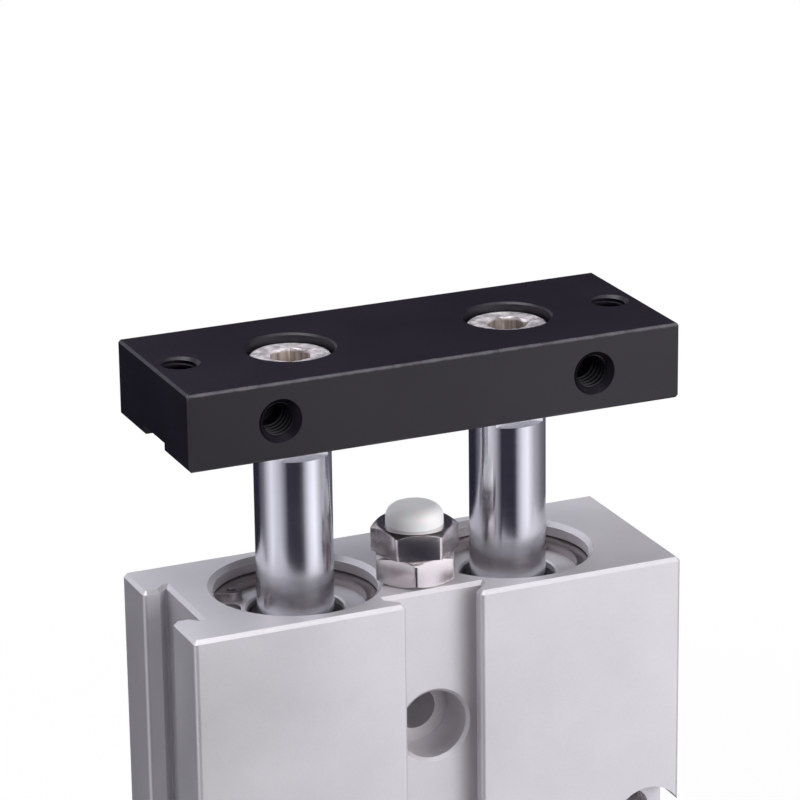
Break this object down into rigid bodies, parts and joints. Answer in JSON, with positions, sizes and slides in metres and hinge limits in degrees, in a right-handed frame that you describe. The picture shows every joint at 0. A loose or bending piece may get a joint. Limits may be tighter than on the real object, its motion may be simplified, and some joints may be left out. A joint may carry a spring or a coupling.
{
  "type": "twin rod pneumatic cylinder",
  "caption": "Flat silver air cylinder with parallel chromed rods tied by a black end plate, a stroke adjuster between the rods, a sensor slot and a mounting groove.",
  "frame": {"origin": "centre of the body's rear end face, on which the cylinder stands", "axes": "+Z along the rods, out of the body; -Y towards the front groove; +X towards the air ports"},
  "size_m": [0.054, 0.021, 0.1004],
  "materials": {
    "body_silver": "satin anodised",
    "plate_black": "black anodised",
    "rod_chrome": "polished hard chrome",
    "screw_nickel": "nickel plated",
    "nut_plated": "bright nickel plated",
    "plug_steel": "zinc plated",
    "ring_steel": "phosphated spring steel",
    "cover_aluminium": "turned and anodised",
    "seal_rubber": "moulded rubber",
    "bush_bronze": "sintered bronze",
    "cushion_urethane": "moulded urethane",
    "wear_plastic": "filled plastic",
    "magnet_black": "bonded magnet",
    "tip_nylon": "natural nylon"
  },
  "bodies": {
    "cylinder": {"cylinder_body": "body_silver", "side_port_plugs": "plug_steel", "adjuster_lock_nut": "nut_plated", "rod_cover_left": "cover_aluminium", "rod_cover_right": "cover_aluminium", "rod_cover_o_ring_left": "seal_rubber", "rod_cover_o_ring_right": "seal_rubber", "guide_bush_left": "bush_bronze", "guide_bush_right": "bush_bronze", "rod_seal_left": "seal_rubber", "rod_seal_right": "seal_rubber", "front_cushion_left": "cushion_urethane", "front_cushion_right": "cushion_urethane", "front_retaining_ring_left": "ring_steel", "front_retaining_ring_right": "ring_steel", "rear_cover_left": "cover_aluminium", "rear_cover_right": "cover_aluminium", "rear_cover_o_ring_left": "seal_rubber", "rear_cover_o_ring_right": "seal_rubber", "rear_cushion_left": "cushion_urethane", "rear_cushion_right": "cushion_urethane", "rear_retaining_ring_left": "ring_steel", "rear_retaining_ring_right": "ring_steel"},
    "rods": {"end_plate": "plate_black", "plate_screws": "screw_nickel", "piston_nuts": "nut_plated", "piston_rod_left": "rod_chrome", "piston_rod_right": "rod_chrome", "piston_left": "cover_aluminium", "piston_right": "cover_aluminium", "piston_seal_left": "seal_rubber", "piston_seal_right": "seal_rubber", "piston_wear_ring_left": "wear_plastic", "piston_wear_ring_right": "wear_plastic", "piston_magnet_left": "magnet_black", "piston_magnet_right": "magnet_black"},
    "adjuster_tip": {"adjuster_tip": "tip_nylon"},
    "adjuster_bolt": {"adjuster_bolt": "nut_plated"}
  },
  "joints": [
    {"name": "rod_slide", "type": "slide", "parent": "cylinder", "child": "rods", "axis": [0, 0, 1], "range_m": [-0.00475, 0.01525]},
    {"name": "adjuster_lift", "type": "slide", "parent": "cylinder", "child": "adjuster_tip", "axis": [0, 0, 1], "range_m": [0, 0.0048]},
    {"name": "adjuster_turn", "type": "hinge", "parent": "adjuster_tip", "child": "adjuster_bolt", "pos_m": [0, -0.0032, 0.078], "axis": [0, 0, 1], "range_deg": [0, 2160]}
  ],
  "couplings": [
    {"joint": "adjuster_turn", "follows": "adjuster_lift", "rad_per_m": 7854}
  ]
}
